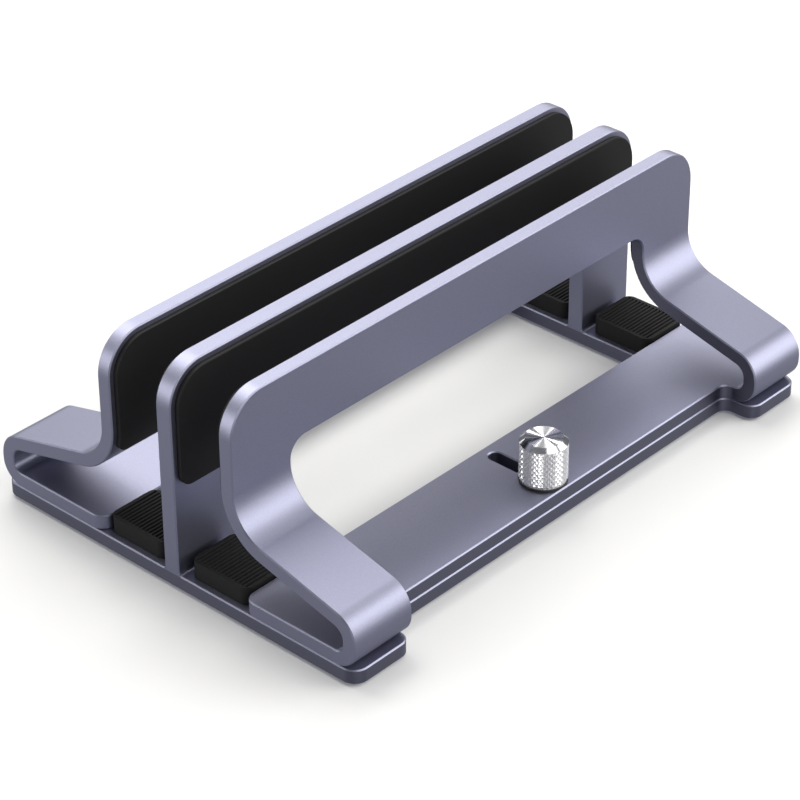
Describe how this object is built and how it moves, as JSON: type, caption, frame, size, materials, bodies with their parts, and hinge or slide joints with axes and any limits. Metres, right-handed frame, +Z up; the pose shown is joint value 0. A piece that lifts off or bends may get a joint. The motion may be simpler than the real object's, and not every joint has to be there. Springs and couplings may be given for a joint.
{
  "type": "vertical laptop stand",
  "caption": "Vertical stand that holds closed laptops on edge: base with a fixed centre wall, and sliding brackets clamped by knurled thumb screws.",
  "frame": {"origin": "middle of the stand on the surface that it rests on", "axes": "+Z up, +Y along the bays towards the far end, +X across them towards the right bracket"},
  "size_m": [0.1344, 0.19, 0.0688],
  "materials": {
    "anodised_aluminium": "fine bead-blasted and anodised, grey with a violet cast",
    "wall_pad_silicone": "smooth black silicone",
    "ribbed_rubber": "matt black rubber with moulded ribs",
    "foot_rubber": "matt black rubber",
    "knob_steel": "turned and knurled, bright plated",
    "stud_steel": "bright steel",
    "washer_plastic": "matt black"
  },
  "bodies": {
    "base": {"centre_frame": "anodised_aluminium", "centre_pad_left": "wall_pad_silicone", "centre_pad_right": "wall_pad_silicone", "left_front_rest_pad": "ribbed_rubber", "left_back_rest_pad": "ribbed_rubber", "right_front_rest_pad": "ribbed_rubber", "right_back_rest_pad": "ribbed_rubber", "left_front_foot": "foot_rubber", "left_back_foot": "foot_rubber", "right_front_foot": "foot_rubber", "right_back_foot": "foot_rubber"},
    "left_slider": {"left_bracket": "anodised_aluminium", "left_bracket_pad": "wall_pad_silicone"},
    "left_screw_washer": {"left_washer": "washer_plastic"},
    "left_thumb_screw": {"left_knob": "knob_steel", "left_stud": "stud_steel"},
    "right_slider": {"right_bracket": "anodised_aluminium", "right_bracket_pad": "wall_pad_silicone"},
    "right_screw_washer": {"right_washer": "washer_plastic"},
    "right_thumb_screw": {"right_knob": "knob_steel", "right_stud": "stud_steel"}
  },
  "joints": [
    {"name": "left_bracket_slide", "type": "slide", "parent": "base", "child": "left_slider", "axis": [-1, 0, 0], "range_m": [0, 0.0173]},
    {"name": "left_screw_lift", "type": "slide", "parent": "base", "child": "left_screw_washer", "axis": [0, 0, 1], "range_m": [0, 0.00281]},
    {"name": "left_screw_turn", "type": "hinge", "parent": "left_screw_washer", "child": "left_thumb_screw", "pos_m": [-0.0494, 0, 0.0106], "axis": [0, 0, 1], "range_deg": [0, 1440]},
    {"name": "right_bracket_slide", "type": "slide", "parent": "base", "child": "right_slider", "axis": [1, 0, 0], "range_m": [0, 0.0173]},
    {"name": "right_screw_lift", "type": "slide", "parent": "base", "child": "right_screw_washer", "axis": [0, 0, 1], "range_m": [0, 0.00281]},
    {"name": "right_screw_turn", "type": "hinge", "parent": "right_screw_washer", "child": "right_thumb_screw", "pos_m": [0.0494, 0, 0.0106], "axis": [0, 0, 1], "range_deg": [0, 1440]}
  ],
  "couplings": [
    {"joint": "left_screw_lift", "follows": "left_screw_turn", "m_per_rad": 0.00011141},
    {"joint": "right_screw_lift", "follows": "right_screw_turn", "m_per_rad": 0.00011141}
  ]
}
